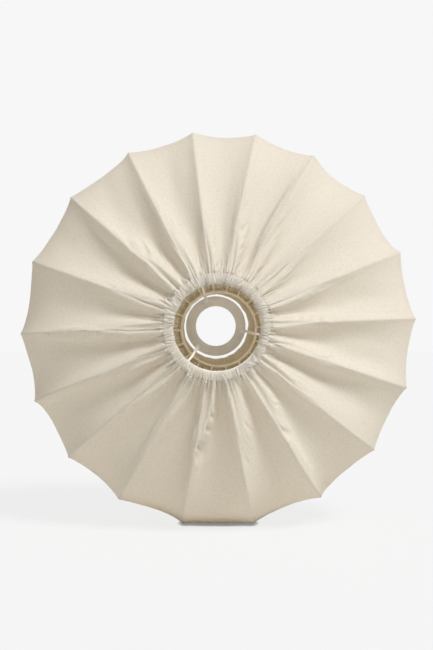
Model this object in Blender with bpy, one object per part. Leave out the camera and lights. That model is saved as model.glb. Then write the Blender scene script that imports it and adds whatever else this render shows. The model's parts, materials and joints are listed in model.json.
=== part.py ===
"""A round gathered-fabric lamp shade on a welded wire frame.

The shade stands on its rim: its axis lies along Y, and the fitter end faces -Y. The origin is on the
axis, midway between the two rings. Angles run round the axis from +X towards +Z. All sizes are in metres.
"""

import math

import bmesh
import bpy
from mathutils import Vector

# Driving dimensions
SHADE_DIAMETER = 0.446  # over the fabric, where it crosses the ribs
RING_SPACING = 0.220  # between the middles of the two rings' wires
RING_OUTSIDE = 0.097
RING_WIRE = 0.0038
RIB_COUNT = 18
RIB_WIRE = 0.0027
FITTER_HOLE = 0.042  # clears the threaded sleeve of an E27 lamp holder
FITTER_OUTSIDE = 0.063
FITTER_THICKNESS = 0.0015
FITTER_CHAMFER = 0.0003
FITTER_RECESS = 0.040  # from the middle of the front ring's wire to the fitter ring's front face
ARM_WIRE = 0.0025
ARM_ANGLES = (110, 230, 350)  # degrees
ARM_REACH = 0.0262  # radius at which an arm's flattened tip ends, on the fitter ring
TAB_HALF_WIDTH = 0.0026
TAB_HALF_THICKNESS = 0.0006
TAB_SHARE = 0.22  # of the arm's path, over which the wire is flattened

FABRIC = 0.0008
HEM_RADIUS = {"front": 0.0448, "back": 0.0400}  # the gathered inner edges of the cover
CASING_DEPTH = 0.0105  # the folded casing that holds each elastic, measured along the radius
CASING_FOLD = 0.0014  # the radius of its fold, measured the same way
ELASTIC_WIDTH = 0.006
ELASTIC_THICKNESS = 0.0008
ELASTIC_INSET = 0.0019  # from the hem's edge to the elastic
EQUATOR_SAG = 0.0057  # how far the fabric between two ribs lies inside them, at the rim
SHOULDER_SAG = 0.0080  # and how much further, halfway from the rim to the rings
GAP = 0.0003  # between pieces that touch

# The hand-welded ribs drift from an even spacing: (waves round the shade, degrees, where it peaks)
RIB_DRIFT = ((0, 0.55, 0), (1, 1.5, -42), (2, 1.75, 11), (3, 0.65, 60))

# Facets
RING_STEPS = 48
RING_SIDES = 8
FITTER_STEPS = 48
RIB_STEPS = 14  # along the part of a rib that the fabric lies on: even, so that one point is on the rim
ARM_STEPS = 11
ARM_SIDES = 8
BAY_SHARES = (1 / 3, 2 / 3)  # where the fabric between two ribs has its own columns of points
CREST_HALF_WIDTH = 0.0017  # of the strip of fabric that lies on a rib
CREST_START_RADIUS = 0.064  # where the fabric comes down from the casing on to the rib

# Worked out from the above
RING_RADIUS = (RING_OUTSIDE - RING_WIRE) / 2
RING_PLANE = RING_SPACING / 2
FITTER_FACE = FITTER_RECESS - RING_PLANE
RIB_HALF_WIDTH = SHADE_DIAMETER / 2 - FABRIC - GAP - RIB_WIRE / 2  # the ellipse that a rib follows
RIB_END_RADIUS = RING_OUTSIDE / 2 + GAP
RIB_END = math.asin(RIB_END_RADIUS / RIB_HALF_WIDTH)
RIB_HALF_DEPTH = RING_PLANE / math.cos(RIB_END)
CREST_START = math.asin(CREST_START_RADIUS / RIB_HALF_WIDTH)
CREST_OFFSET = RIB_WIRE / 2 + GAP + FABRIC / 2
INNER_LAYER = RING_PLANE + RING_WIRE / 2 + GAP + FABRIC / 2
ELASTIC_PLANE = INNER_LAYER + FABRIC / 2 + GAP + ELASTIC_THICKNESS / 2
OUTER_LAYER = ELASTIC_PLANE + ELASTIC_THICKNESS / 2 + GAP + FABRIC / 2


def clear_scene():
    for thing in list(bpy.data.objects):
        bpy.data.objects.remove(thing)


def make_material(name, colour, roughness, metallic=0.0):
    material = bpy.data.materials.new(name)
    material.use_nodes = True
    shader = material.node_tree.nodes["Principled BSDF"]
    shader.inputs["Base Color"].default_value = (*colour, 1)
    shader.inputs["Roughness"].default_value = roughness
    shader.inputs["Metallic"].default_value = metallic
    return material


def add_object(name, data, material):
    data.materials.append(material)
    thing = bpy.data.objects.new(name, data)
    bpy.context.collection.objects.link(thing)
    return thing


def place(radius, along, angle):
    """The point at this radius and angle round the shade's axis, and this far along it."""
    return Vector((radius * math.cos(angle), along, radius * math.sin(angle)))


def finished_mesh(name, shape):
    bmesh.ops.recalc_face_normals(shape, faces=shape.faces)
    mesh = bpy.data.meshes.new(name)
    shape.to_mesh(mesh)
    shape.free()
    mesh.shade_smooth()
    mesh.set_sharp_from_angle(angle=math.radians(40))
    return mesh


def lofted(name, sections, closed, sheet=False):
    """A skin over a row of closed outlines with the same number of points each. Unless the row closes
    on itself, its two ends are capped. The outline of a sheet runs out along one of its faces and back
    along the other, and both are split along the same diagonals, so that the wall stays even."""
    shape = bmesh.new()
    rows = [[shape.verts.new(point) for point in section] for section in sections]
    pairs = list(zip(rows, rows[1:]))
    if closed:
        pairs.append((rows[-1], rows[0]))
    else:
        shape.faces.new(rows[0])
        shape.faces.new(rows[-1])
    for this, after in pairs:
        for i in range(len(this)):
            j = (i + 1) % len(this)
            corners = (this[i], this[j], after[j], after[i])
            if not sheet:
                shape.faces.new(corners)
                continue
            if 2 * i >= len(this):
                corners = (*corners[1:], corners[0])
            shape.faces.new(corners[:3])
            shape.faces.new((corners[0], *corners[2:]))
    return finished_mesh(name, shape)


def turned(name, outline, steps):
    """A closed (radius, along) outline turned round the shade's axis."""
    turn = math.tau / steps
    sections = [[place(r, y, i * turn) for r, y in outline] for i in range(steps)]
    return lofted(name, sections, closed=True)


# The wire frame


def rib_point(turn):
    """(radius, along) on a rib's centre line. turn is 0 on the axis in front, and pi behind."""
    return RIB_HALF_WIDTH * math.sin(turn), -RIB_HALF_DEPTH * math.cos(turn)


def rib_normal(turn):
    """The unit (radius, along) direction straight out of a rib's curve."""
    out = Vector((RIB_HALF_DEPTH * math.sin(turn), -RIB_HALF_WIDTH * math.cos(turn)))
    return out.normalized()


def crest_turns():
    """The places along a rib that the rib's and the cover's points share."""
    step = (math.pi - 2 * CREST_START) / RIB_STEPS
    return [CREST_START + i * step for i in range(RIB_STEPS + 1)]


def rib_angles():
    """Each rib's angle round the axis, rising."""
    even = [i * math.tau / RIB_COUNT for i in range(RIB_COUNT)]
    drift = [
        sum(size * math.cos(waves * (a - math.radians(peak))) for waves, size, peak in RIB_DRIFT)
        for a in even
    ]
    return [a + math.radians(d) for a, d in zip(even, drift)]


def wire_ring(name, along, material):
    turn = math.tau / RING_SIDES
    half = RING_WIRE / 2
    outline = [
        (RING_RADIUS + half * math.cos(i * turn), along + half * math.sin(i * turn))
        for i in range(RING_SIDES)
    ]
    return add_object(name, turned(name, outline, RING_STEPS), material)


def rib_curve():
    """One rib as a bevelled curve in the plane of +X and Y."""
    turns = [RIB_END, *crest_turns(), math.pi - RIB_END]
    curve = bpy.data.curves.new("rib", "CURVE")
    curve.dimensions = "3D"
    curve.bevel_depth = RIB_WIRE / 2
    curve.bevel_resolution = 1
    curve.use_fill_caps = True
    line = curve.splines.new("POLY")
    line.points.add(len(turns) - 1)
    for point, turn in zip(line.points, turns):
        radius, along = rib_point(turn)
        point.co = (radius, along, 0, 1)
    return curve


def make_ribs(material):
    curve = rib_curve()
    curve.materials.append(material)
    for number, angle in enumerate(rib_angles(), start=1):
        rib = bpy.data.objects.new(f"rib_{number:02d}", curve)
        rib.rotation_euler.y = -angle
        bpy.context.collection.objects.link(rib)


# The fitter


def make_fitter_ring(material):
    front, back = FITTER_FACE, FITTER_FACE + FITTER_THICKNESS
    inner, outer, cut = FITTER_HOLE / 2, FITTER_OUTSIDE / 2, FITTER_CHAMFER
    outline = [
        (inner, front + cut),
        (inner + cut, front),
        (outer - cut, front),
        (outer, front + cut),
        (outer, back - cut),
        (outer - cut, back),
        (inner + cut, back),
        (inner, back - cut),
    ]
    add_object("fitter_ring", turned("fitter_ring", outline, FITTER_STEPS), material)


def arm_line():
    """(radius, along) points from the front ring's inner side, down and on to the fitter ring's face."""
    start = Vector((RING_RADIUS - RING_WIRE / 2 - GAP, -RING_PLANE))
    end = Vector((ARM_REACH, FITTER_FACE - GAP - TAB_HALF_THICKNESS))
    after_start = start + Vector((-0.009, 0))
    before_end = end + Vector((0.011, 0))
    points = []
    for i in range(ARM_STEPS + 1):
        t = i / ARM_STEPS
        s = 1 - t
        points.append(
            start * s**3 + after_start * 3 * s * s * t + before_end * 3 * s * t * t + end * t**3
        )
    return points


def arm_section(line, i, angle):
    """The wire's outline at one point of its line: round, then flattened towards the tip."""
    ahead = (line[min(i + 1, ARM_STEPS)] - line[max(i - 1, 0)]).normalized()
    flat = min(max((i / ARM_STEPS - 1 + TAB_SHARE) / TAB_SHARE, 0), 1)
    half_width = ARM_WIRE / 2 + flat * (TAB_HALF_WIDTH - ARM_WIRE / 2)
    half_thickness = ARM_WIRE / 2 + flat * (TAB_HALF_THICKNESS - ARM_WIRE / 2)
    sideways = Vector((-math.sin(angle), 0, math.cos(angle)))
    upright = place(-ahead.y, ahead.x, angle)
    middle = place(line[i].x, line[i].y, angle)
    turn = math.tau / ARM_SIDES
    return [
        middle
        + sideways * half_width * math.cos(k * turn)
        + upright * half_thickness * math.sin(k * turn)
        for k in range(ARM_SIDES)
    ]


def make_fitter_arms(material):
    line = arm_line()
    for number, degrees in enumerate(ARM_ANGLES, start=1):
        name = f"fitter_arm_{number}"
        angle = math.radians(degrees)
        sections = [arm_section(line, i, angle) for i in range(len(line))]
        add_object(name, lofted(name, sections, closed=False), material)


# The cover and its elastics


def casing_line(hem_radius, side):
    """The folded casing's middle line, from its raw edge round the fold to where the cover leaves it."""
    outer_end = hem_radius + CASING_DEPTH
    fold = hem_radius + CASING_FOLD
    return [
        Vector((outer_end, side * INNER_LAYER)),
        Vector((fold, side * INNER_LAYER)),
        Vector((hem_radius + FABRIC / 2, side * ELASTIC_PLANE)),
        Vector((fold, side * OUTER_LAYER)),
        Vector((outer_end, side * OUTER_LAYER)),
    ]


def sag(turn):
    """How far the fabric between two ribs lies inside them."""
    share = 1 - abs(turn - math.pi / 2) / (math.pi / 2 - CREST_START)
    return EQUATOR_SAG * math.sqrt(max(share, 0)) + SHOULDER_SAG * math.sin(math.pi * share)


def cover_line(sagging):
    """The cloth's middle line from its front raw edge to its back one, over a rib or between two."""
    crest = []
    for turn in crest_turns():
        out = CREST_OFFSET - (sag(turn) if sagging else 0)
        crest.append(Vector(rib_point(turn)) + rib_normal(turn) * out)
    back = reversed(casing_line(HEM_RADIUS["back"], 1))
    return [*casing_line(HEM_RADIUS["front"], -1), *crest, *back]


def thickened(line):
    """The closed outline of a cloth whose middle line this is."""
    left, right = [], []
    for i, point in enumerate(line):
        before = (point - line[i - 1]).normalized() if i else None
        after = (line[i + 1] - point).normalized() if i + 1 < len(line) else None
        before, after = before or after, after or before
        along = (before + after).normalized()
        normal = Vector((-along.y, along.x))
        reach = FABRIC / 2 / max(along.dot(before), 0.5)
        left.append(point + normal * reach)
        right.append(point - normal * reach)
    return left + right[::-1]


def column(outline, angle, side):
    """The outline at one angle; side is -1 or 1 at a crest's edge, and 0 between the ribs."""
    return [
        place(p.x, p.y, angle + side * math.asin(CREST_HALF_WIDTH / p.x)) for p in outline
    ]


def make_cover(material):
    on_rib = thickened(cover_line(sagging=False))
    in_bay = thickened(cover_line(sagging=True))
    angles = rib_angles()
    columns = []
    for angle, following in zip(angles, [*angles[1:], angles[0] + math.tau]):
        columns.append(column(on_rib, angle, -1))
        columns.append(column(on_rib, angle, 1))
        for share in BAY_SHARES:
            columns.append(column(in_bay, angle + share * (following - angle), 0))
    add_object("cover", lofted("cover", columns, closed=True, sheet=True), material)


def make_elastic(name, hem_radius, side, material):
    inner = hem_radius + ELASTIC_INSET
    outer = inner + ELASTIC_WIDTH
    low = side * ELASTIC_PLANE - ELASTIC_THICKNESS / 2
    high = low + ELASTIC_THICKNESS
    outline = [(inner, low), (outer, low), (outer, high), (inner, high)]
    add_object(name, turned(name, outline, RING_STEPS), material)


def main():
    clear_scene()
    frame_paint = make_material("frame_paint", (0.83, 0.81, 0.77), 0.42)
    fitter_paint = make_material("fitter_paint", (0.80, 0.78, 0.74), 0.38)
    cloth = make_material("natural_cloth", (0.76, 0.70, 0.59), 0.9)
    elastic = make_material("elastic", (0.78, 0.76, 0.70), 0.75)
    wire_ring("front_ring", -RING_PLANE, frame_paint)
    wire_ring("back_ring", RING_PLANE, frame_paint)
    make_ribs(frame_paint)
    make_fitter_ring(fitter_paint)
    make_fitter_arms(frame_paint)
    make_cover(cloth)
    make_elastic("front_elastic", HEM_RADIUS["front"], -1, elastic)
    make_elastic("back_elastic", HEM_RADIUS["back"], 1, elastic)


main()
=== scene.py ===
"""The looks of the round gathered lamp shade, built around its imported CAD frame.

The shade's axis lies along Y and its fitter end faces -Y. Angles run round the axis from +X towards +Z.
All sizes are in metres. The cover is a grid of threads: a column runs from one hub to the other, and a
row runs round the shade.
"""

import json
import math

import bmesh
import bpy
import numpy as np
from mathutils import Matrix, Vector

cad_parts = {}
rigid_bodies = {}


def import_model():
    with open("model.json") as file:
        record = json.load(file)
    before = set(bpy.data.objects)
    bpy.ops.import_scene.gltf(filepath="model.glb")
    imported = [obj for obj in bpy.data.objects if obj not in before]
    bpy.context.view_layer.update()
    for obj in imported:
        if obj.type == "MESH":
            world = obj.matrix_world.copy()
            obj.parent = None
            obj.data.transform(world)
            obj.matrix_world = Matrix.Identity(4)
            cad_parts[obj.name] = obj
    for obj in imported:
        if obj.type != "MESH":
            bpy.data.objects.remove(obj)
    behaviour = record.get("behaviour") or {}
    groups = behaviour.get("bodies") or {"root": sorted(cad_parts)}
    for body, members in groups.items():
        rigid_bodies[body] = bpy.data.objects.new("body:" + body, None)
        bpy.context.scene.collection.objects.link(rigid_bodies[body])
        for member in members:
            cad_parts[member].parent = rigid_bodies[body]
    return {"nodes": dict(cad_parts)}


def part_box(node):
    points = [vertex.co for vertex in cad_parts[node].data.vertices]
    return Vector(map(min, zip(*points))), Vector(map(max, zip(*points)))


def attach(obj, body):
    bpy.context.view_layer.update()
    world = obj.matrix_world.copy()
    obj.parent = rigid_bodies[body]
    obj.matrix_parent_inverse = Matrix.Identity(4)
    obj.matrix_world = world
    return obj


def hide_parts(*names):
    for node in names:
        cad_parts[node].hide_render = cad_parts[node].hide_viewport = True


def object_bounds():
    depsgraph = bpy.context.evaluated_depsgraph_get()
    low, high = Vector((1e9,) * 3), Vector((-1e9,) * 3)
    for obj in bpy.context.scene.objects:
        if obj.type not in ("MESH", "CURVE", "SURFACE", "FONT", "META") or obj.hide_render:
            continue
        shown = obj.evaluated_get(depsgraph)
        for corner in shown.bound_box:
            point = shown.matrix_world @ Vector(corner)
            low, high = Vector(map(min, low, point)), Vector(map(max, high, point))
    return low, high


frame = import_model()
cad_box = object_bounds()

SEED = 7
FULL_TURN = math.tau
MM = 0.001

# The frame's wires, which the CAD nodes don't state
RIB_COUNT = 18
RIB_WIRE = 0.0027
ARM_WIRE = 0.0025
WELD_GAP = 0.0003  # between the solids of a rib and a ring

# The cloth
FABRIC = 0.0005  # its thickness
OVER_RIB = RIB_WIRE / 2 + FABRIC / 2 + 0.0001  # from a rib's middle line to the middle of the cloth on it
SEEN_THROUGH = 0.42  # the share of the light on it that passes through
YARN_PITCH = 0.00075
CLOTH_RADIUS = 0.140  # where the flat cloth is as wide as the way round the shade

# The cover's grid
BAY_COLUMNS = 48  # columns of threads from one rib to the next
COLUMNS = RIB_COUNT * BAY_COLUMNS
HUB_ROW_STEP = 0.0013  # between rows, at the stitching
RIM_ROW_STEP = 0.0040  # and at the rim
ROW_STEP_CHANGE = (0.012, 0.080)  # it grows over this stretch from the stitching
CREST_START = 0.064  # inside this radius the cloth leaves the rib and runs straight to the stitching

# The cloth solver
SOLVER_STEPS = 260
KEPT_SPEED = 0.94  # the share of its speed that a point keeps from one step to the next
SLACK = 0.998  # rest length of the threads round the shade, as a share of their first length
ALONG_REST = 0.990  # and of the threads from hub to hub
ROUND_PULL = 0.95  # how hard each set of threads pulls
ALONG_PULL = 0.30
ACROSS_PULL = 0.06
BENDS = ((2, 0.970, 0.04), (4, 0.92, 0.03))  # columns, straightness, stiffness
BEND_ALONG = (1.97, 0.10)  # over two rows: rest length in rows, stiffness
LEAST_GAP = 0.12  # between two columns, as a share of their distance on the ribs' line

# The folds
HUB_RADIUS = 0.0545  # where the creases start
# how deep the cloth hangs between two ribs: radius, depth
HOLLOW_DEPTH = (
    (0.054, 0.062, 0.075, 0.090, 0.110, 0.140, 0.170, 0.200, 0.223),
    (0.0005, 0.0030, 0.0066, 0.0092, 0.0110, 0.0108, 0.0088, 0.0060, 0.0038),
)
SHARED_RIM = (0.150, 0.215)  # radii over which a bay's front and back take on one shape
LEVEL_RIM = (0.165, 0.212)  # radii over which the floor presses the lowest bay level
UNEVEN_CLOTH = 0.0007  # soft dents where the cloth drags
# The cover is twisted a little: its creases lean one way for half a turn from here, then the other way
LEAN_FROM = math.radians(15)
LEAN = 0.85
GATHER_HEIGHT = 0.0015

# The casings
CASING_WIDTH = 0.0105  # from the stitching to the hem's fold
CASING_HEIGHT = 0.0021  # of its gathers
CASING_LAYERS = 0.0022  # between its two layers of cloth
HEM_FOLD = 0.0011  # radius of the fold
ELASTIC_ROOM = 0.0024  # from the elastic to the stitching, and from the hem's fold to the elastic


# ---------------------------------------------------------------------------------------------------
# What the frame says


def node_points(name):
    mesh = frame["nodes"][name].data
    flat = np.empty(len(mesh.vertices) * 3)
    mesh.vertices.foreach_get("co", flat)
    return flat.reshape(-1, 3)


def rib_angle(number):
    x, _, z = node_points(f"rib_{number:02d}").mean(axis=0)
    return math.atan2(z, x)


def ring_sizes(name):
    """(radius of the wire's middle, radius of the wire, place along Y)"""
    low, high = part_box(name)
    wire = (high.y - low.y) / 2
    return high.x - wire, wire, (low.y + high.y) / 2


ring_radius, ring_wire, front_plane = ring_sizes("front_ring")
back_plane = ring_sizes("back_ring")[2]
rib_angles = np.unwrap([rib_angle(n) for n in range(1, RIB_COUNT + 1)])
rib_points = node_points("rib_01")
rib_reach = np.hypot(rib_points[:, 0], rib_points[:, 2]).max() - RIB_WIRE / 2
rib_end_radius = ring_radius + ring_wire + WELD_GAP
rib_depth = back_plane / math.cos(math.asin(rib_end_radius / rib_reach))
front_elastic_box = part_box("front_elastic")
back_elastic_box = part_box("back_elastic")
CASING_PLANE = cad_box[1].y - 0.0004  # the middle of the casing's outer layer
# The front is side -1 and the back is side 1
STITCH_RADIUS = {
    -1: front_elastic_box[1].x + ELASTIC_ROOM,
    1: back_elastic_box[1].x + ELASTIC_ROOM,
}
HEM_RADIUS = {side: STITCH_RADIUS[side] - CASING_WIDTH for side in (-1, 1)}
HEM_EASE = {-1: 0.0001, 1: 0.0004}  # added to it
HEM_SHIFT = {-1: -0.0015, 1: 0.0048}  # how far each hem's middle lies off the axis
HEM_SHIFT_ANGLE = {-1: math.radians(122), 1: math.radians(138)}  # and in which direction
HEM_UNEVEN = 0.0004
WASHER_SHIFT = np.array([-0.0015, 0.0, 0.0014])  # the washer is welded a little off the axis


# ---------------------------------------------------------------------------------------------------
# Small tools


def smoothstep(low, high, value):
    t = np.clip((value - low) / (high - low), 0, 1)
    return t * t * (3 - 2 * t)


def round_noise(rng, angles, lowest, highest):
    """Smooth noise round the shade, about -1 to 1, made of waves of these numbers of turns."""
    total = np.zeros_like(angles)
    for waves in range(lowest, highest + 1):
        total += rng.normal() * np.cos(waves * angles + rng.uniform(0, FULL_TURN))
    return total / math.sqrt((highest - lowest + 1) / 2) / 1.6


def add_piece(name, mesh, material, replaced=(), body="root"):
    thing = bpy.data.objects.new(name, mesh)
    bpy.context.scene.collection.objects.link(thing)
    mesh.materials.append(material)
    mesh.shade_smooth()
    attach(thing, body)
    if replaced:
        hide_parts(*replaced)
    return thing


def grid_mesh(name, points, close_rows, close_columns, cap_ends=False):
    """A mesh over a grid of points, rows by columns by xyz."""
    rows, columns = points.shape[:2]
    index = np.arange(rows * columns).reshape(rows, columns)
    if close_columns:
        index = np.hstack([index, index[:, :1]])
    if close_rows:
        index = np.vstack([index, index[:1]])
    faces = np.stack([index[:-1, :-1], index[:-1, 1:], index[1:, 1:], index[1:, :-1]], axis=-1)
    polygons = faces.reshape(-1, 4).tolist()
    if cap_ends:
        polygons.append(index[0, :columns][::-1].tolist())
        polygons.append(index[-1, :columns].tolist())
    mesh = bpy.data.meshes.new(name)
    mesh.from_pydata(points.reshape(-1, 3).tolist(), [], polygons)
    shape = bmesh.new()
    shape.from_mesh(mesh)
    bmesh.ops.recalc_face_normals(shape, faces=shape.faces)
    shape.to_mesh(mesh)
    shape.free()
    return mesh


def apply_modifiers(thing):
    bpy.context.view_layer.objects.active = thing
    for modifier in list(thing.modifiers):
        with bpy.context.temp_override(object=thing, active_object=thing):
            bpy.ops.object.modifier_apply(modifier=modifier.name)


def joined_meshes(name, meshes):
    shape = bmesh.new()
    for mesh in meshes:
        shape.from_mesh(mesh)
        bpy.data.meshes.remove(mesh)
    mesh = bpy.data.meshes.new(name)
    shape.to_mesh(mesh)
    shape.free()
    return mesh


# ---------------------------------------------------------------------------------------------------
# Materials


class Nodes:
    """A material's node tree, with short calls for the nodes used here."""

    def __init__(self, name):
        self.material = bpy.data.materials.new(name)
        self.material.use_nodes = True
        self.tree = self.material.node_tree
        self.shader = self.tree.nodes["Principled BSDF"]

    def add(self, kind, inputs=None, **settings):
        node = self.tree.nodes.new(f"ShaderNode{kind}")
        for key, value in settings.items():
            setattr(node, key, value)
        for key, value in (inputs or {}).items():
            if isinstance(value, bpy.types.NodeSocket):
                self.tree.links.new(value, node.inputs[key])
            else:
                node.inputs[key].default_value = value
        return node

    def link(self, source, target):
        self.tree.links.new(source, self.shader.inputs[target])

    def scaled(self, vector, scale):
        return self.add("Mapping", {"Vector": vector, "Scale": scale}).outputs["Vector"]

    def noise(self, vector, scale, detail=2.0, roughness=0.5):
        values = {"Vector": vector, "Scale": scale, "Detail": detail, "Roughness": roughness}
        return self.add("TexNoise", values).outputs["Fac"]

    def ramp(self, value, low, high, out_low=0.0, out_high=1.0):
        values = {0: value, 1: low, 2: high, 3: out_low, 4: out_high}
        return self.add("MapRange", values, interpolation_type="SMOOTHSTEP").outputs[0]

    def math(self, operation, a, b=0.0):
        return self.add("Math", {0: a, 1: b}, operation=operation).outputs[0]

    def mix(self, factor, a, b, blend="MIX"):
        """Of a colour mix node's sockets, 0, 6 and 7 are the factor and the two colours."""
        values = {0: factor, 6: a, 7: b}
        return self.add("Mix", values, data_type="RGBA", blend_type=blend).outputs[2]

    def bump(self, height, distance, strength=1.0, normal=None):
        values = {"Height": height, "Distance": distance, "Strength": strength}
        if normal is not None:
            values["Normal"] = normal
        return self.add("Bump", values).outputs["Normal"]

    def show_mix(self, share, first, second):
        """Ends the tree in a mix of two shaders, with this share of the second."""
        both = self.add("MixShader", {0: share, 1: first.outputs[0], 2: second.outputs[0]})
        self.tree.links.new(both.outputs[0], self.tree.nodes["Material Output"].inputs["Surface"])


def colour(red, green, blue):
    return (red, green, blue, 1.0)


def cloth_material():
    """Unbleached plain weave. The attribute cloth_place holds each point's place on the flat cloth."""
    nodes = Nodes("natural_cloth")
    flat = nodes.add("Attribute", attribute_name="cloth_place").outputs["Vector"]
    parts = nodes.add("SeparateXYZ", {0: flat})
    across, along = parts.outputs["X"], parts.outputs["Y"]

    # Yarns: one bulge for each warp and weft thread, taking turns on top
    wander = nodes.noise(flat, 180.0)
    waves = []
    for place, sway in ((across, 0.0006), (along, 0.0005)):
        swayed = nodes.math("ADD", place, nodes.math("MULTIPLY", wander, sway))
        waves.append(nodes.math("SINE", nodes.math("MULTIPLY", swayed, math.pi / YARN_PITCH)))
    woven = nodes.math("MULTIPLY", *waves)
    yarn = nodes.math("ADD", nodes.math("MULTIPLY", woven, 0.5), 0.5)

    # Slubs: long thin streaks along each set of yarns
    weft_streak = nodes.noise(nodes.scaled(flat, (45.0, 1500.0, 1.0)), 1.0, 2.0)
    warp_streak = nodes.noise(nodes.scaled(flat, (1500.0, 60.0, 1.0)), 1.0, 2.0)
    slub = nodes.ramp(weft_streak, 0.60, 0.78)
    thin = nodes.ramp(warp_streak, 0.62, 0.80)

    # Flecks of seed husk in the cotton
    fleck_place = nodes.scaled(flat, (170.0, 330.0, 1.0))
    fleck_cells = nodes.add("TexVoronoi", {"Vector": fleck_place, "Scale": 1.0, "Randomness": 1.0})
    near = nodes.ramp(fleck_cells.outputs["Distance"], 0.05, 0.14, 1.0, 0.0)
    chance = nodes.add("SeparateColor", {0: fleck_cells.outputs["Color"]}).outputs[0]
    fleck = nodes.math("MULTIPLY", near, nodes.ramp(chance, 0.80, 0.86))

    mottling = nodes.noise(flat, 380.0, 4.0, 0.65)
    base = nodes.mix(nodes.ramp(mottling, 0.30, 0.70), colour(0.836, 0.804, 0.738),
                     colour(0.898, 0.878, 0.832))
    base = nodes.mix(nodes.math("MULTIPLY", slub, 0.55), base, colour(0.92, 0.90, 0.85))
    base = nodes.mix(nodes.math("MULTIPLY", thin, 0.35), base, colour(0.79, 0.73, 0.61))
    # painted shade: the base colour is darker in the low places between the yarns' bulges
    base = nodes.mix(nodes.math("MULTIPLY", nodes.math("SUBTRACT", 1.0, yarn), 0.16), base,
                     colour(0.66, 0.59, 0.46))
    base = nodes.mix(nodes.math("MULTIPLY", fleck, 0.62), base, colour(0.42, 0.34, 0.24))
    nodes.link(base, "Base Color")

    fine = nodes.bump(yarn, 0.00012, 0.8)
    slubby = nodes.bump(nodes.math("ADD", weft_streak, warp_streak), 0.00025, 0.5, fine)
    fuzz = nodes.bump(nodes.noise(flat, 2600.0, 2.0), 0.00006, 0.6, slubby)
    nodes.link(fuzz, "Normal")
    nodes.link(nodes.ramp(mottling, 0.2, 0.8, 0.82, 0.95), "Roughness")
    shader = nodes.shader
    shader.inputs["Specular IOR Level"].default_value = 0.25
    shader.inputs["Sheen Weight"].default_value = 0.10
    shader.inputs["Sheen Roughness"].default_value = 0.5
    shader.inputs["Sheen Tint"].default_value = colour(1.0, 0.96, 0.88)
    warmer = nodes.mix(1.0, base, colour(1.0, 0.955, 0.86), "MULTIPLY")
    through = nodes.add("BsdfTranslucent", {"Color": warmer, "Normal": fuzz})
    nodes.show_mix(SEEN_THROUGH, shader, through)
    return nodes.material


def paint_material(name, base, roughness, dust):
    """Satin powder coat: faint orange peel, and a little grime and wear in the colour."""
    nodes = Nodes(name)
    place = nodes.add("TexCoord").outputs["Object"]
    patches = nodes.noise(place, 60.0, 4.0, 0.6)
    specks = nodes.noise(place, 900.0, 2.0)
    worn = tuple(channel * 0.86 for channel in base)
    shade = nodes.mix(nodes.ramp(patches, 0.35, 0.75), colour(*base), colour(*worn))
    shade = nodes.mix(nodes.math("MULTIPLY", nodes.ramp(specks, 0.66, 0.74), dust), shade,
                      colour(0.42, 0.36, 0.28))
    nodes.link(shade, "Base Color")
    nodes.link(nodes.ramp(patches, 0.2, 0.8, roughness, roughness + 0.16), "Roughness")
    peel = nodes.bump(nodes.noise(place, 1400.0, 1.0), 0.00010, 0.35)
    nodes.link(nodes.bump(nodes.noise(place, 180.0, 2.0), 0.0004, 0.25, peel), "Normal")
    nodes.shader.inputs["Specular IOR Level"].default_value = 0.45
    nodes.shader.inputs["Coat Weight"].default_value = 0.12
    nodes.shader.inputs["Coat Roughness"].default_value = 0.3
    return nodes.material


def elastic_material():
    """Knitted elastic tape: ribs along the tape and small loops across it."""
    nodes = Nodes("elastic")
    place = nodes.add("TexCoord").outputs["Object"]
    parts = nodes.add("SeparateXYZ", {0: place})
    squared = nodes.math("ADD", nodes.math("MULTIPLY", parts.outputs["X"], parts.outputs["X"]),
                         nodes.math("MULTIPLY", parts.outputs["Z"], parts.outputs["Z"]))
    radius = nodes.math("SQRT", squared)
    ridges = nodes.math("SINE", nodes.math("MULTIPLY", radius, FULL_TURN / 0.0009))
    loops = nodes.noise(place, 1300.0, 2.0)
    # painted shade: darker in the grooves between the ribs and lighter on their crests
    shade = nodes.mix(nodes.ramp(ridges, -1.0, 1.0), colour(0.60, 0.57, 0.50), colour(0.80, 0.78, 0.72))
    shade = nodes.mix(nodes.math("MULTIPLY", loops, 0.4), shade, colour(0.66, 0.63, 0.57))
    nodes.link(shade, "Base Color")
    nodes.link(nodes.ramp(loops, 0.2, 0.8, 0.62, 0.85), "Roughness")
    nodes.link(nodes.bump(nodes.math("ADD", ridges, loops), 0.0002, 0.6), "Normal")
    return nodes.material


# ---------------------------------------------------------------------------------------------------
# The wire frame


def swept(name, centres, normals, sideways, radii, sides, closed):
    """A round wire along these points. radii is one number for each point."""
    turn = np.arange(sides) * FULL_TURN / sides
    circle = (
        normals[:, None, :] * np.cos(turn)[None, :, None]
        + sideways[:, None, :] * np.sin(turn)[None, :, None]
    )
    points = centres[:, None, :] + circle * np.asarray(radii)[:, None, None]
    return grid_mesh(name, points, close_rows=closed, close_columns=True, cap_ends=not closed)


def ring_piece(name, along, material, rng):
    """One hoop of wire, not quite even, with the butt weld that closes it."""
    steps = 360
    angles = np.arange(steps) * FULL_TURN / steps
    out = np.stack([np.cos(angles), np.zeros(steps), np.sin(angles)], axis=1)
    weld = np.exp(-((((angles - rib_angles[4] % FULL_TURN - 0.17) * ring_radius) / 0.0012) ** 2))
    radii = ring_wire * (1 + 0.012 * round_noise(rng, angles, 20, 60) + 0.10 * weld) - 0.00002
    centres = out * ring_radius + np.array([0, along, 0])
    sideways = np.tile([0.0, 1.0, 0.0], (steps, 1))
    mesh = swept(name, centres, out, sideways, radii, 20, closed=True)
    return add_piece(f"{name}_wire", mesh, material, [name])


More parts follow.
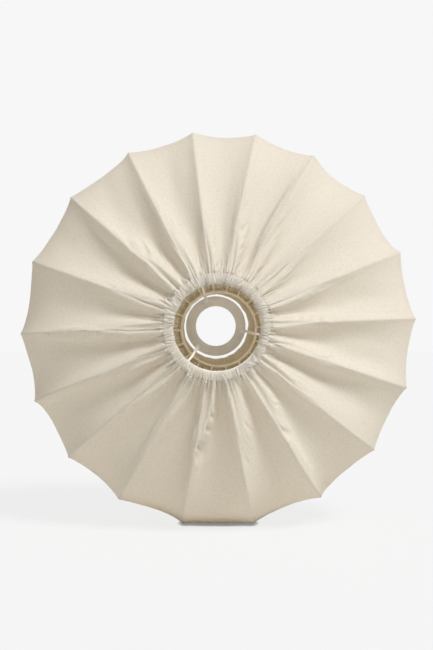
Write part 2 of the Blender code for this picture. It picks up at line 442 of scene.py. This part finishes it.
def rib_line(turns, offset=0.0):
    """(radius, along) on a rib's ellipse, moved out along its normal. turn is 0 in front, pi behind."""
    normal = np.stack([rib_depth * np.sin(turns), -rib_reach * np.cos(turns)], axis=-1)
    normal /= np.linalg.norm(normal, axis=-1, keepdims=True)
    point = np.stack([rib_reach * np.sin(turns), -rib_depth * np.cos(turns)], axis=-1)
    return point + normal * offset, normal


def spun(flat, angle):
    """(radius, along) points turned to this angle round the axis."""
    return np.stack(
        [flat[..., 0] * np.cos(angle), flat[..., 1], flat[..., 0] * np.sin(angle)], axis=-1
    )


def rib_piece(number, angle, material, rng):
    end = math.asin(rib_end_radius / rib_reach)
    turns = np.linspace(end, math.pi - end, 120)
    line, normal = rib_line(turns)
    radii = RIB_WIRE / 2 * (1 + 0.015 * round_noise(rng, turns * 2, 6, 30))
    sideways = np.tile([-math.sin(angle), 0.0, math.cos(angle)], (len(turns), 1))
    name = f"rib_{number:02d}"
    mesh = swept(name, spun(line, angle), spun(normal, angle), sideways, radii, 12, closed=False)
    return add_piece(f"{name}_wire", mesh, material, [name])


def weld_bead(centre, out, axis, size, rng):
    """A small irregular lump of weld metal: a ball pulled into a fillet and roughened."""
    shape = bmesh.new()
    bmesh.ops.create_icosphere(shape, subdivisions=3, radius=1.0)
    out, axis = Vector(out).normalized(), Vector(axis).normalized()
    third = out.cross(axis)
    waves = [(Vector(rng.normal(size=3)) * 2.2, rng.uniform(0, FULL_TURN)) for _ in range(5)]
    for point in shape.verts:
        rough = 1 + sum(0.045 * math.sin(point.co.dot(wave) + phase) for wave, phase in waves)
        p = point.co * rough
        point.co = Vector(centre) + out * p.x * size[0] + axis * p.y * size[1] + third * p.z * size[2]
    mesh = bpy.data.meshes.new("bead")
    shape.to_mesh(mesh)
    shape.free()
    return mesh


def rib_welds(name, along, material, rng):
    side = math.copysign(1, along)
    beads = []
    for angle in rib_angles:
        out = (math.cos(angle), 0.0, math.sin(angle))
        radius = ring_radius + ring_wire * rng.uniform(0.86, 0.95)
        centre = np.array(out) * radius + np.array([0, along - side * 0.0005, 0])
        size = (0.0013 * rng.uniform(0.9, 1.15), 0.0015, 0.0021 * rng.uniform(0.9, 1.2))
        beads.append(weld_bead(centre, out, (0, side, 0), size, rng))
    return add_piece(name, joined_meshes(name, beads), material)


# ---------------------------------------------------------------------------------------------------
# The fitter


def fitter_piece(material):
    """The pressed washer, with rounded edges."""
    low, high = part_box("fitter_ring")
    outer, front, back = high.x, low.y, high.y
    inner = np.hypot(*node_points("fitter_ring")[:, [0, 2]].T).min()
    rounding = (back - front) * 0.36
    corners = [
        (inner + rounding, front + rounding, math.pi),
        (outer - rounding, front + rounding, 1.5 * math.pi),
        (outer - rounding, back - rounding, 0.0),
        (inner + rounding, back - rounding, 0.5 * math.pi),
    ]
    outline = []
    for radius, along, start in corners:
        for share in np.linspace(0, 1, 6):
            turn = start + share * math.pi / 2
            outline.append((radius + rounding * math.cos(turn), along + rounding * math.sin(turn)))
    outline = np.array(outline)
    angles = np.arange(192) * FULL_TURN / 192
    points = np.stack([spun(outline, angle) for angle in angles]) + WASHER_SHIFT
    mesh = grid_mesh("fitter_ring", points, close_rows=True, close_columns=True)
    return add_piece("fitter_washer", mesh, material, ["fitter_ring"])


def arm_piece(number, material):
    """One bent wire from the front ring down to the washer, hammered flat where it is welded on."""
    name = f"fitter_arm_{number}"
    x, _, z = node_points(name).mean(axis=0)
    angle = math.atan2(z, x)
    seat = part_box("fitter_ring")[0].y
    wire = ARM_WIRE / 2
    tab_width, tab_thickness = 0.0027, 0.0006  # half of each
    start = np.array([ring_radius - ring_wire - 0.0002, front_plane])
    end = np.array([0.0262, seat - tab_thickness])
    bend_in = start + np.array([-0.009, 0])
    bend_out = end + np.array([0.011, 0])
    t = np.linspace(0, 1, 60)[:, None]
    s = 1 - t
    line = start * s**3 + bend_in * 3 * s * s * t + bend_out * 3 * s * t * t + end * t**3
    ahead = np.gradient(line, axis=0)
    ahead /= np.linalg.norm(ahead, axis=1, keepdims=True)
    upright = np.stack([-ahead[:, 1], ahead[:, 0]], axis=1)
    flat = smoothstep(0.74, 0.90, t[:, 0])
    half_width = wire + flat * (tab_width - wire)
    half_thickness = wire + flat * (tab_thickness - wire)
    tip = np.clip((1 - t[:, 0]) / 0.035, 0, 1)
    half_width *= 0.45 + 0.55 * np.sqrt(tip * (2 - tip))
    sideways = np.array([-math.sin(angle), 0.0, math.cos(angle)])
    turn = np.arange(20) * FULL_TURN / 20
    centres = spun(line, angle) + WASHER_SHIFT * smoothstep(0.1, 0.9, t)
    up = spun(upright, angle)
    points = (
        centres[:, None, :]
        + sideways * (half_width[:, None] * np.cos(turn))[..., None]
        + up[:, None, :] * (half_thickness[:, None] * np.sin(turn))[..., None]
    )
    mesh = grid_mesh(name, points, close_rows=False, close_columns=True, cap_ends=True)
    return add_piece(f"{name}_wire", mesh, material, [name])


def arm_welds(material, rng):
    beads = []
    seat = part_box("fitter_ring")[0].y
    for number in (1, 2, 3):
        x, _, z = node_points(f"fitter_arm_{number}").mean(axis=0)
        angle = math.atan2(z, x)
        out = np.array([math.cos(angle), 0.0, math.sin(angle)])
        side = np.array([-math.sin(angle), 0.0, math.cos(angle)])
        top = out * (ring_radius - ring_wire * 0.75) + np.array([0, front_plane, 0])
        beads.append(weld_bead(top, out, (0, 1, 0), (0.0014, 0.0019, 0.0021), rng))
        for way in (-1, 1):
            foot = out * 0.0286 + side * way * 0.0023 + np.array([0, seat - 0.0002, 0]) + WASHER_SHIFT
            beads.append(weld_bead(foot, out, (0, 1, 0), (0.0019, 0.0006, 0.0009), rng))
    return add_piece("fitter_welds", joined_meshes("fitter_welds", beads), material)


# ---------------------------------------------------------------------------------------------------
# The cover


def crest_profile():
    """(radius, along) points and normals of the cloth's line over a rib, from stitching to stitching,
    with rows closer together near the hubs."""
    start = math.asin(CREST_START / rib_reach)
    turns = np.linspace(start, math.pi - start, 1500)
    crest, _ = rib_line(turns, OVER_RIB)
    ends = []
    for side, first in ((-1, crest[0]), (1, crest[-1])):
        stitch = np.array([STITCH_RADIUS[side], side * (CASING_PLANE - 0.0012)])
        share = np.linspace(0, 1, 60)[:, None]
        ends.append(stitch * (1 - share) + first * share)
    line = np.vstack([ends[0][:-1], crest, ends[1][::-1][1:]])
    length = np.concatenate([[0], np.cumsum(np.linalg.norm(np.diff(line, axis=0), axis=1))])
    whole = length[-1]
    places = [0.0]
    while places[-1] < whole:
        from_hub = min(places[-1], whole - places[-1])
        step = HUB_ROW_STEP + (RIM_ROW_STEP - HUB_ROW_STEP) * smoothstep(*ROW_STEP_CHANGE, from_hub)
        places.append(places[-1] + float(step))
    places = np.array(places) * whole / places[-1]
    radius = np.interp(places, length, line[:, 0])
    along = np.interp(places, length, line[:, 1])
    flat = np.stack([radius, along], axis=1)
    ahead = np.gradient(flat, axis=0)
    ahead /= np.linalg.norm(ahead, axis=1, keepdims=True)
    normal = np.stack([ahead[:, 1], -ahead[:, 0]], axis=1)
    return flat, normal


def column_angles():
    """Each column's angle: ribs at every BAY_COLUMNS, and even between them."""
    closed = np.append(rib_angles, rib_angles[0] + FULL_TURN)
    places = np.arange(COLUMNS) / BAY_COLUMNS
    return np.interp(places, np.arange(RIB_COUNT + 1), closed)


class Folds:
    """The gathers round one hub: narrow valleys at uneven distances, with a rounded crest between each
    two. Every fold has its own height and its own reach outwards."""

    def __init__(self, rng, per_bay, shortest, longest):
        count = RIB_COUNT * per_bay
        widths = rng.uniform(0.55, 1.45, count)
        valleys = np.concatenate([[0], np.cumsum(widths)]) * COLUMNS / widths.sum()
        columns = np.arange(COLUMNS)
        phase = np.interp(columns, valleys, np.arange(count + 1))
        self.fold = np.minimum(phase.astype(int), count - 1)
        self.shape = np.abs(np.sin(math.pi * phase)) ** 0.75
        self.height = rng.uniform(0.45, 1.25, count)[self.fold]
        self.reach = rng.uniform(shortest, longest, count)[self.fold]

    def ridges(self):
        return self.shape * self.height


def field_noise(rng, angles, share, lowest, highest, waves):
    """Smooth noise over the whole cloth, about -1 to 1."""
    total = np.zeros((len(share), len(angles)))
    for _ in range(waves):
        turns = rng.integers(lowest, highest + 1)
        drift = rng.uniform(-3.0, 3.0) * FULL_TURN
        total += np.cos(turns * angles[None, :] + drift * share[:, None] + rng.uniform(0, FULL_TURN))
    return total / math.sqrt(waves / 2) / 1.6


class Crease:
    """A line in the cloth that starts at a hub and runs outwards into a rib. at_hub is where it starts
    and parent is the rib, both as places across the bay, from 0 to 1."""

    def __init__(self, rng, at_hub, parent):
        self.at_hub, self.parent = at_hub, parent
        # the further it is from its rib, the further out it joins it, so that no two cross
        self.start = 0.078 + 0.105 * abs(at_hub - parent) ** 0.8 + rng.uniform(-0.006, 0.012)
        self.bend = rng.uniform(0.9, 1.6)

    def travelled(self, radius):
        """0 at the hub, 1 where the line ends"""
        return np.clip((radius - HUB_RADIUS) / (self.start - HUB_RADIUS), 0, 1)

    def share(self, radius):
        """Its place across the bay, from 0 to 1, for each row"""
        return self.at_hub + (self.parent - self.at_hub) * self.travelled(radius) ** self.bend


def bay_shape(radius, across, lean, rng):
    """Height of one bay of cloth: a deep skewed hollow, which narrows towards the hub between two
    creases that branch off the ribs, with smaller creases beside them. across runs from 0 to 1. Where
    lean is near 1, most creases run into the rib at the bay's far side; near -1, at its near side."""
    width = (radius * FULL_TURN / RIB_COUNT)[:, None]
    parting = 0.5 - 0.2 * lean
    left = Crease(rng, parting - rng.uniform(0.10, 0.24), 0.0)
    right = Crease(rng, parting + rng.uniform(0.10, 0.24), 1.0)
    low, high = left.share(radius)[:, None], right.share(radius)[:, None]
    inside = np.clip((across[None, :] - low) / (high - low), 0, 1)
    skew = np.exp(rng.uniform(-0.35, 0.35) + rng.uniform(-0.3, 0.3) * radius / radius.max())
    hollow = inside ** skew[:, None]
    hollow = 4 * hollow * (1 - hollow)
    depth = np.interp(radius, *HOLLOW_DEPTH) * rng.uniform(0.80, 1.25)
    height = -depth[:, None] * hollow
    # each crease with its depth at the hub, in millimetres
    creases = [(left, rng.uniform(1.8, 4.6)), (right, rng.uniform(1.8, 4.6))]
    for at_hub in (rng.uniform(0.04, 0.12), rng.uniform(0.16, 0.26), rng.uniform(0.74, 0.84),
                   rng.uniform(0.88, 0.96)):
        parent = 1.0 if at_hub > parting else 0.0
        main = right if parent else left
        if abs(at_hub - main.at_hub) > 0.06 and rng.random() < 0.85:
            creases.append((Crease(rng, at_hub, parent), rng.uniform(1.2, 3.6)))
    for crease, size in creases:
        t = crease.travelled(radius)[:, None]
        apart = (across[None, :] - crease.share(radius)[:, None]) * width
        deep = size * MM * (1 - t) ** 0.6
        height -= deep * np.exp(-np.abs(apart) / (0.0008 + 0.0014 * t))
        towards_rib = apart * (1 if crease.at_hub > 0.5 else -1)
        height += 0.75 * deep * np.exp(-(((towards_rib - 0.0026) / 0.0024) ** 2))
    return height


def starting_height(flat, normal, folds, rng):
    """Height of each grid point above the ribs' line, before the cloth settles."""
    radius = flat[:, 0]
    rows = len(radius)
    angles = column_angles()
    place = np.arange(BAY_COLUMNS + 1) / BAY_COLUMNS
    sagitta = radius * (1 - math.cos(math.pi / RIB_COUNT)) * np.maximum(normal[:, 0], 0)
    arch = 4 * place * (1 - place)
    height = np.zeros((rows, COLUMNS))
    for side in (-1, 1):
        half = np.arange(rows) < rows / 2 if side == -1 else np.arange(rows) >= rows / 2
        r = radius[half]
        for bay in range(RIB_COUNT):
            # both halves of a bay share their shape at the rim
            bay_rng = np.random.default_rng(SEED * 1000 + bay)
            middle = rib_angles[bay] + math.pi / RIB_COUNT
            lean = LEAN * math.sin(middle - LEAN_FROM)
            rim_part = bay_shape(r, place, lean, bay_rng)
            own = bay_shape(r, place, lean, rng)
            meet = smoothstep(*SHARED_RIM, r)[:, None]
            shape = own * (1 - meet) + rim_part * meet
            shape = shape - sagitta[half][:, None] * arch[None, :]
            points_down = math.sin(middle) < -0.99
            if points_down:
                level = smoothstep(*LEVEL_RIM, r)[:, None]
                shape = shape * (1 - level) - sagitta[half][:, None] * arch[None, :] * 0.85 * level
            first = bay * BAY_COLUMNS
            height[half, first : first + BAY_COLUMNS] += shape[:, :BAY_COLUMNS]
        t = np.clip((r[:, None] - HUB_RADIUS) / (folds[side].reach[None, :] - HUB_RADIUS), 0, 1)
        height[half] += GATHER_HEIGHT * folds[side].ridges()[None, :] * (1 - t) ** 0.8
    share = np.linspace(-1, 1, rows)
    drag = field_noise(rng, angles, share, 14, 54, 60)
    on_ribs = np.abs(np.sin(math.pi * np.arange(COLUMNS) / BAY_COLUMNS)) ** 0.7
    outer_part = smoothstep(0.080, 0.120, radius) * (1 - 0.6 * smoothstep(0.19, 0.22, radius))
    return height + UNEVEN_CLOTH * drag * outer_part[:, None] * on_ribs[None, :]


def lengths_between(a, b):
    return np.linalg.norm(a - b, axis=-1)[..., None]


def pull(a, b, rest, stiffness, only_short=False):
    """Moves the two ends of each of a set of threads towards their rest length, in place."""
    apart = b - a
    length = np.sqrt(np.einsum("...k,...k->...", apart, apart))[..., None] + 1e-9
    share = (length - rest) / length
    if only_short:
        share = np.minimum(share, 0)
    apart *= stiffness * 0.5 * share
    a += apart
    b -= apart


def pull_round(grid, rest, stiffness):
    """Threads from each column to the next."""
    pull(grid[:, 0::2], grid[:, 1::2], rest[:, 0::2], stiffness)
    pull(grid[:, 1:-1:2], grid[:, 2::2], rest[:, 1:-1:2], stiffness)
    pull(grid[:, -1:], grid[:, :1], rest[:, -1:], stiffness)


def pull_along(grid, rest, stiffness):
    """Threads from each row to the next."""
    for first in (0, 1):
        a, b = grid[first:-1:2], grid[first + 1 :: 2]
        n = min(len(a), len(b))
        pull(a[:n], b[:n], rest[first::2][:n], stiffness)


def pull_across(grid, rest, stiffness):
    """Diagonal threads, both ways, which keep the weave from shearing freely."""
    for first in (0, 1):
        a, b = grid[first:-1:2], grid[first + 1 :: 2]
        n = min(len(a), len(b))
        r = rest[first::2][:n, 1:]
        pull(a[:n, :-1], b[:n, 1:], r, stiffness)
        pull(a[:n, 1:], b[:n, :-1], r, stiffness)


def unbend_round(grid, rest, span, stiffness):
    """Threads over several columns, which only push: the cloth's stiffness against a tight fold. The
    stiffness is one number for each row and column."""
    blocks = grid.reshape(grid.shape[0], -1, 2 * span, 3)
    rests = rest.reshape(grid.shape[0], -1, 2 * span, 1)
    stiff = stiffness.reshape(grid.shape[0], -1, 2 * span, 1)
    head, tail = slice(0, span), slice(span, 2 * span)
    pull(blocks[:, :, head], blocks[:, :, tail], rests[:, :, head], stiff[:, :, head], True)
    pull(blocks[:, :-1, tail], blocks[:, 1:, head], rests[:, :-1, tail], stiff[:, :-1, tail], True)
    pull(blocks[:, -1, tail], blocks[:, 0, head], rests[:, -1, tail], stiff[:, -1, tail], True)


def unbend_along(grid, rest, stiffness):
    """The same over two rows."""
    for first in (0, 1, 2, 3):
        a, b = grid[first::4], grid[first + 2 :: 4]
        n = min(len(a), len(b))
        pull(a[:n], b[:n], rest[first::4][:n], stiffness, only_short=True)


def keep_off_ribs(grid, columns, angles, clearance):
    """Pushes out the points that lie in a rib's wire."""
    near = grid[:, columns]
    cos, sin = np.cos(angles), np.sin(angles)
    radius = near[..., 0] * cos + near[..., 2] * sin
    lateral = near[..., 2] * cos - near[..., 0] * sin
    along = near[..., 1]
    gradient_r, gradient_y = radius / rib_reach**2, along / rib_depth**2
    size = np.sqrt(gradient_r**2 + gradient_y**2)
    level = np.sqrt((radius / rib_reach) ** 2 + (along / rib_depth) ** 2)
    outside = (level - 1) * level / size
    gradient_r, gradient_y = gradient_r / size, gradient_y / size
    needed = np.sqrt(np.maximum(clearance**2 - lateral**2, 0))
    move = np.where(np.abs(lateral) < clearance, np.maximum(needed - outside, 0), 0)
    near[..., 0] += move * gradient_r * cos
    near[..., 2] += move * gradient_r * sin
    near[..., 1] += move * gradient_y
    grid[:, columns] = near


def keep_order(grid, tangent, least):
    """Keeps each column from sliding past the next one."""
    for a, b, t, room in (
        (grid[:, 0::2], grid[:, 1::2], tangent[:, 0::2], least[:, 0::2]),
        (grid[:, 1:-1:2], grid[:, 2::2], tangent[:, 1:-1:2], least[:, 1:-1:2]),
    ):
        gap = np.einsum("...k,...k->...", b - a, np.broadcast_to(t, a.shape))[..., None]
        push = np.maximum(room - gap, 0) * 0.5 * t
        a -= push
        b += push


def settled_cloth(flat, normal, folds, rng):
    """The cloth between the two rows of stitching, as a grid of points: stretched over the ribs, with
    its spare cloth gathered towards the hubs."""
    angles = column_angles()
    radius = flat[:, 0]
    across = np.stack([np.cos(angles), np.zeros(COLUMNS), np.sin(angles)], axis=-1)
    axis = np.array([0.0, 1.0, 0.0])
    base = radius[:, None, None] * across + flat[:, 1, None, None] * axis
    out = normal[:, 0, None, None] * across + normal[:, 1, None, None] * axis
    grid = base + out * starting_height(flat, normal, folds, rng)[..., None]

    spread = np.roll(angles, -1) - angles
    spread[-1] += FULL_TURN
    chord = radius[:, None] * spread[None, :]
    round_rest = lengths_between(grid, np.roll(grid, -1, axis=1)) * SLACK
    along_rest = lengths_between(grid[1:], grid[:-1]) * ALONG_REST
    across_rest = np.sqrt(round_rest[:-1] ** 2 + lengths_between(grid[1:], grid[:-1]) ** 2) * SLACK
    bend_rows, bend_stiffness = BEND_ALONG
    bend_along_rest = np.vstack([along_rest, along_rest[-1:]]) * (bend_rows / ALONG_REST)
    tangent = np.stack([-np.sin(angles), np.zeros(COLUMNS), np.cos(angles)], axis=-1)[None]
    least = (chord * LEAST_GAP)[..., None]

    bends = []
    stiff_rows = smoothstep(0.058, 0.105, radius) * (1 - 0.75 * smoothstep(0.150, 0.200, radius))
    for span, straightness, stiffness in BENDS:
        in_bay = np.arange(COLUMNS) % BAY_COLUMNS <= BAY_COLUMNS - span
        stiff = (stiffness * stiff_rows)[:, None] * in_bay[None, :]
        bends.append((span, (span * straightness * round_rest).astype(np.float32),
                      stiff[..., None].astype(np.float32)))

    rib_columns = np.arange(RIB_COUNT) * BAY_COLUMNS
    offsets = np.arange(-5, 6)
    near_columns = (rib_columns[:, None] + offsets).ravel() % COLUMNS
    near_angles = np.repeat(rib_angles, len(offsets))

    arrays = (grid, round_rest, along_rest, across_rest, bend_along_rest, tangent, least)
    grid, round_rest, along_rest, across_rest, bend_along_rest, tangent, least = (
        array.astype(np.float32) for array in arrays
    )
    first, last = grid[0].copy(), grid[-1].copy()
    before = grid.copy()
    for step in range(SOLVER_STEPS):
        moved = (grid - before) * KEPT_SPEED
        before = grid.copy()
        grid += moved
        pull_along(grid, along_rest, ALONG_PULL)
        for span, rest, stiff in bends:
            if step % 2 == 0 or span == 2:
                unbend_round(grid, rest, span, stiff)
        unbend_along(grid, bend_along_rest, bend_stiffness)
        pull_across(grid, across_rest, ACROSS_PULL)
        pull_round(grid, round_rest, ROUND_PULL)
        if step % 4 == 0:
            keep_order(grid, tangent, least)
        keep_off_ribs(grid, near_columns, near_angles, OVER_RIB)
        grid[0], grid[-1] = first, last
    return grid.astype(float)


def hem_line(side):
    """Radius of the hem's fold all round: the casing is pushed a little off centre, so that it covers
    the ring's wire on one side and shows it on the other."""
    angles = column_angles()
    rng = np.random.default_rng(SEED + 60 + side)
    shift = HEM_SHIFT[side] * np.cos(angles - HEM_SHIFT_ANGLE[side])
    uneven = HEM_UNEVEN * round_noise(rng, angles, 4, 20)
    return HEM_RADIUS[side] + HEM_EASE[side] + shift + uneven


def casing_rows(side, stitch_row, folds, rng):
    """Rows of points for the gathered casing: from the stitching in to the hem's fold, round the
    elastic, and out again underneath it."""
    angles = column_angles()
    outer = STITCH_RADIUS[side]
    stitch_radius = np.hypot(stitch_row[:, 0], stitch_row[:, 2])
    stitch_along = stitch_row[:, 1] * side
    columns = np.arange(COLUMNS)
    middle_folds, fine = Folds(rng, 8, 0.06, 0.07), Folds(rng, 11, 0.06, 0.07)
    lean = round_noise(rng, angles, 3, 30)
    tug = 0.5 + 0.5 * np.clip(round_noise(rng, angles, 10, 60), -1, 1)
    hem = hem_line(side) - 0.0007 * (fine.ridges() - 0.5)
    rows = []
    for share in np.linspace(0, 1, 19)[1:]:
        bulge = math.sin(math.pi * min(share * 0.72 + 0.05, 1)) ** 0.7
        radius = stitch_radius + (hem + HEM_FOLD - stitch_radius) * share
        inwards = smoothstep(0.10, 0.70, share)
        slant = columns + 9.0 * share * lean
        near = np.interp(slant, columns, folds.ridges())
        further = 0.75 * middle_folds.ridges() + 0.35 * fine.ridges()
        ridges = near * (1 - inwards) + np.interp(slant, columns, further) * inwards
        along = CASING_PLANE + (0.0006 + CASING_HEIGHT * ridges) * bulge
        start = smoothstep(0, 0.16, share)
        along = stitch_along * (1 - start) + along * start
        along = along - 0.0009 * tug * math.exp(-(((share - 0.06) / 0.07) ** 2))
        along = along - 0.0005 * smoothstep(0.88, 1.0, share)
        rows.append((radius, along))
    under = CASING_PLANE - CASING_LAYERS
    top_radius, top_along = rows[-1]
    for turn in np.linspace(0, math.pi, 7)[1:]:
        middle = (top_along + under) / 2
        half = (top_along - under) / 2
        rows.append((top_radius - HEM_FOLD * math.sin(turn), middle + half * math.cos(turn)))
    ruffle_height = 0.0008 if side == -1 else 0.0014
    for share in np.linspace(0, 1, 9)[1:]:
        radius = top_radius + (outer + 0.0008 - top_radius) * share
        at_ring = np.exp(-(((radius - ring_radius) / 0.0032) ** 2))
        ruffle = (0.5 - middle_folds.ridges()) * (1 - 0.75 * at_ring) * math.sin(math.pi * share) ** 0.5
        rows.append((radius, under + ruffle_height * ruffle))
    return np.stack(
        [np.stack([r * np.cos(angles), side * y, r * np.sin(angles)], axis=-1) for r, y in rows]
    )


def elastic_piece(name, side, material, rng):
    """The flat tape inside a casing, a little uneven where the gathers press on it."""
    angles = column_angles()
    inner = hem_line(side) + ELASTIC_ROOM
    turn = np.arange(16) * FULL_TURN / 16
    half_width, half_thickness = 0.0025, 0.0004
    wavy = 0.00012 * round_noise(rng, angles, 40, 120)
    radius = (inner + half_width)[:, None] + half_width * np.sign(np.cos(turn)) * np.abs(
        np.cos(turn)) ** 0.5
    along = CASING_PLANE - 0.0009 + wavy[:, None] + half_thickness * np.sign(np.sin(turn)) * np.abs(
        np.sin(turn)) ** 0.7
    points = np.stack(
        [radius * np.cos(angles)[:, None], side * along, radius * np.sin(angles)[:, None]], axis=-1
    )
    mesh = grid_mesh(name, points, close_rows=True, close_columns=True)
    return add_piece(f"{name}_tape", mesh, material, [name])


def cover_piece(material, rng):
    flat, normal = crest_profile()
    folds = {side: Folds(rng, 7, 0.060, 0.084) for side in (-1, 1)}
    middle = settled_cloth(flat, normal, folds, rng)
    front = casing_rows(-1, middle[0], folds[-1], rng)
    back = casing_rows(1, middle[-1], folds[1], rng)
    grid = np.vstack([front[::-1], middle, back])
    mesh = grid_mesh("cover", grid, close_rows=False, close_columns=True)
    # each point's place on the flat cloth, in metres
    lengths = np.linalg.norm(np.diff(grid, axis=0), axis=-1).mean(axis=1)
    down = np.concatenate([[0], np.cumsum(lengths)])
    across = np.arange(COLUMNS) * (FULL_TURN * CLOTH_RADIUS / COLUMNS)
    place = np.zeros((grid.shape[0], COLUMNS, 3))
    place[..., 0] = across[None, :]
    place[..., 1] = down[:, None]
    attribute = mesh.attributes.new("cloth_place", "FLOAT_VECTOR", "POINT")
    attribute.data.foreach_set("vector", place.reshape(-1))
    cover = add_piece("shade_cover", mesh, material, ["cover"])
    thicken = cover.modifiers.new("thickness", "SOLIDIFY")
    thicken.thickness = FABRIC
    thicken.offset = 0.0
    apply_modifiers(cover)
    return cover


# ---------------------------------------------------------------------------------------------------
# Camera, light and floor


def make_camera():
    """Looks into the fitter end from 0.95 m, a little to the right of the axis and below it."""
    data = bpy.data.cameras.new("camera")
    data.sensor_width = 36.0
    data.lens = 51.8
    camera = bpy.data.objects.new("camera", data)
    bpy.context.scene.collection.objects.link(camera)
    camera.location = (0.0112, front_plane - 0.948, -0.0114)
    forward = Vector((-0.0121, 1.0, 0.0141)).normalized()
    camera.rotation_mode = "QUATERNION"
    camera.rotation_quaternion = forward.to_track_quat("-Z", "Y")
    data.clip_start = 0.05
    data.clip_end = 50.0
    bpy.context.scene.camera = camera


def make_light():
    """A wide soft key from the upper right, an even sky, and a weak warm lamp inside the shade, for part
    of the light that comes in through the cloth. The camera sees a plain pale backdrop for the sky."""
    sun = bpy.data.lights.new("key", "SUN")
    sun.energy = 3.0
    sun.angle = math.radians(18)
    key = bpy.data.objects.new("key", sun)
    bpy.context.scene.collection.objects.link(key)
    towards = Vector((-0.40, 0.46, -0.80)).normalized()
    key.rotation_mode = "QUATERNION"
    key.rotation_quaternion = towards.to_track_quat("-Z", "Y")
    lamp = bpy.data.lights.new("inner_fill", "POINT")
    lamp.energy = 0.12
    lamp.color = (1.0, 0.88, 0.68)
    lamp.shadow_soft_size = 0.05
    fill = bpy.data.objects.new("inner_fill", lamp)
    bpy.context.scene.collection.objects.link(fill)
    world = bpy.data.worlds.new("studio")
    world.use_nodes = True
    bpy.context.scene.world = world
    sky = world.node_tree.nodes["Background"]
    sky.inputs["Color"].default_value = (1.0, 0.985, 0.955, 1)
    sky.inputs["Strength"].default_value = 0.42
    shown = world.node_tree.nodes.new("ShaderNodeBackground")
    shown.inputs["Color"].default_value = (0.931, 0.931, 0.931, 1)
    shown.inputs["Strength"].default_value = 1.0
    path = world.node_tree.nodes.new("ShaderNodeLightPath")
    blend = world.node_tree.nodes.new("ShaderNodeMixShader")
    links = world.node_tree.links
    links.new(path.outputs["Is Camera Ray"], blend.inputs[0])
    links.new(sky.outputs[0], blend.inputs[1])
    links.new(shown.outputs[0], blend.inputs[2])
    links.new(blend.outputs[0], world.node_tree.nodes["World Output"].inputs["Surface"])


def make_floor():
    """A pale studio floor, as bright as the backdrop where nothing shades it."""
    shape = bmesh.new()
    bmesh.ops.create_circle(shape, cap_ends=True, segments=96, radius=14.0)
    mesh = bpy.data.meshes.new("floor")
    shape.to_mesh(mesh)
    shape.free()
    floor = bpy.data.objects.new("floor", mesh)
    bpy.context.scene.collection.objects.link(floor)
    floor.location.z = cad_box[0].z
    nodes = Nodes("floor")
    shader = nodes.shader
    shader.inputs["Base Color"].default_value = (0.09, 0.09, 0.09, 1)
    shader.inputs["Roughness"].default_value = 1.0
    shader.inputs["Specular IOR Level"].default_value = 0.0
    shader.inputs["Emission Color"].default_value = (1, 1, 1, 1)
    # painted contact shadow: the floor's glow is dimmed only where the shade all but touches it
    painted_contact_shadow = nodes.add("AmbientOcclusion", {"Distance": 0.005}, samples=8).outputs["AO"]
    painted_contact_shadow = nodes.ramp(painted_contact_shadow, 0.20, 0.90, 0.30, 1.0)
    nodes.link(nodes.math("MULTIPLY", painted_contact_shadow, 0.81), "Emission Strength")
    # the shade itself is lit by a plain matt floor
    matt = nodes.add("BsdfDiffuse", {"Color": colour(0.84, 0.83, 0.80)})
    seen = nodes.add("LightPath").outputs["Is Camera Ray"]
    nodes.show_mix(seen, matt, shader)
    mesh.materials.append(nodes.material)


# ---------------------------------------------------------------------------------------------------

make_camera()
make_light()
make_floor()
bpy.context.scene.view_settings.view_transform = "Standard"
bpy.context.scene.cycles.diffuse_bounces = 10  # the light inside the shade has been through the cloth

frame_paint = paint_material("frame_paint", (0.80, 0.775, 0.725), 0.36, 0.5)
# painted shade: the washer's paint is the wires' off-white darkened, for the shadow it sits in deep
# inside the lamp shade
fitter_paint = paint_material("fitter_paint", (0.74, 0.70, 0.63), 0.40, 0.6)
natural_cloth = cloth_material()
elastic = elastic_material()

ring_piece("front_ring", front_plane, frame_paint, np.random.default_rng(SEED))
ring_piece("back_ring", back_plane, frame_paint, np.random.default_rng(SEED + 1))
for number, angle in enumerate(rib_angles, start=1):
    rib_piece(number, angle, frame_paint, np.random.default_rng(SEED + 10 + number))
rib_welds("front_welds", front_plane, frame_paint, np.random.default_rng(SEED + 2))
rib_welds("back_welds", back_plane, frame_paint, np.random.default_rng(SEED + 3))
fitter_piece(fitter_paint)
for number in (1, 2, 3):
    arm_piece(number, frame_paint)
arm_welds(frame_paint, np.random.default_rng(SEED + 4))
elastic_piece("front_elastic", -1, elastic, np.random.default_rng(SEED + 50))
elastic_piece("back_elastic", 1, elastic, np.random.default_rng(SEED + 51))
cover_piece(natural_cloth, np.random.default_rng(SEED + 5))
